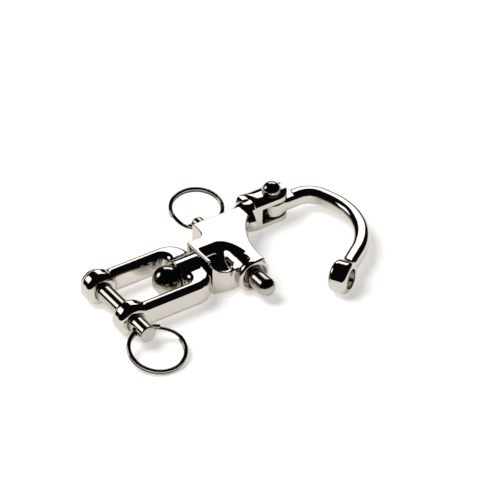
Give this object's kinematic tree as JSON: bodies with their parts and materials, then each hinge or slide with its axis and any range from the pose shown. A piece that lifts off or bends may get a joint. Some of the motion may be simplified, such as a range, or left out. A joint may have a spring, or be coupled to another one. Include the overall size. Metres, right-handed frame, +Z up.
{
  "type": "fork swivel snap shackle",
  "caption": "Polished stainless snap shackle: fork with clevis pin on a swivel, hinged bail and a sprung ring-pull plunger that locks it.",
  "frame": {"origin": "centre of the clevis pin between the jaw's bosses, on the mid-plane", "axes": "+X along the shackle from the jaw to the bail; +Y towards the bail's hinge and the plunger's pull ring; +Z up, normal to the plane that the bail swings in"},
  "size_m": [0.0861, 0.0592, 0.0123],
  "materials": {
    "polished_casting": "mirror polished stainless casting",
    "polished_pin": "turned and polished stainless",
    "plunger_steel": "turned stainless, slightly darker",
    "ring_wire": "drawn stainless wire",
    "spring_wire": "drawn spring wire"
  },
  "bodies": {
    "body": {"snap_body": "polished_casting", "swivel_pin": "polished_pin", "plunger_bush": "plunger_steel", "plunger_spring": "spring_wire", "hinge_pin": "polished_pin"},
    "jaw": {"jaw": "polished_casting"},
    "clevis_pin": {"clevis_pin": "polished_pin"},
    "clevis_ring": {"clevis_ring": "ring_wire"},
    "plunger": {"plunger": "plunger_steel"},
    "plunger_ring": {"plunger_ring": "ring_wire"},
    "bail": {"bail": "polished_casting"}
  },
  "joints": [
    {"name": "swivel", "type": "hinge", "parent": "body", "child": "jaw", "pos_m": [0.0268, 0, 0], "axis": [1, 0, 0], "continuous": true},
    {"name": "clevis_pin_turn", "type": "hinge", "parent": "jaw", "child": "clevis_pin", "pos_m": [0, 0, 0], "axis": [0, 1, 0], "continuous": true},
    {"name": "clevis_ring_swing", "type": "hinge", "parent": "clevis_pin", "child": "clevis_ring", "pos_m": [0, -0.014, 0], "axis": [-1, 0, 0], "range_deg": [-74, 105]},
    {"name": "bail_hinge", "type": "hinge", "parent": "body", "child": "bail", "pos_m": [0.0597, 0.0135, 0], "axis": [0, 0, 1], "range_deg": [-21, 110]},
    {"name": "plunger_pull", "type": "slide", "parent": "body", "child": "plunger", "axis": [0, 1, 0], "range_m": [0, 0.0075], "stiffness_N_per_m": 900, "springref_m": -0.004, "deforming": ["plunger_spring"]},
    {"name": "plunger_ring_swing", "type": "hinge", "parent": "plunger", "child": "plunger_ring", "pos_m": [0.0378, 0.0154, 0], "axis": [0.9272, -0.3746, 0], "range_deg": [-75, 55]}
  ]
}
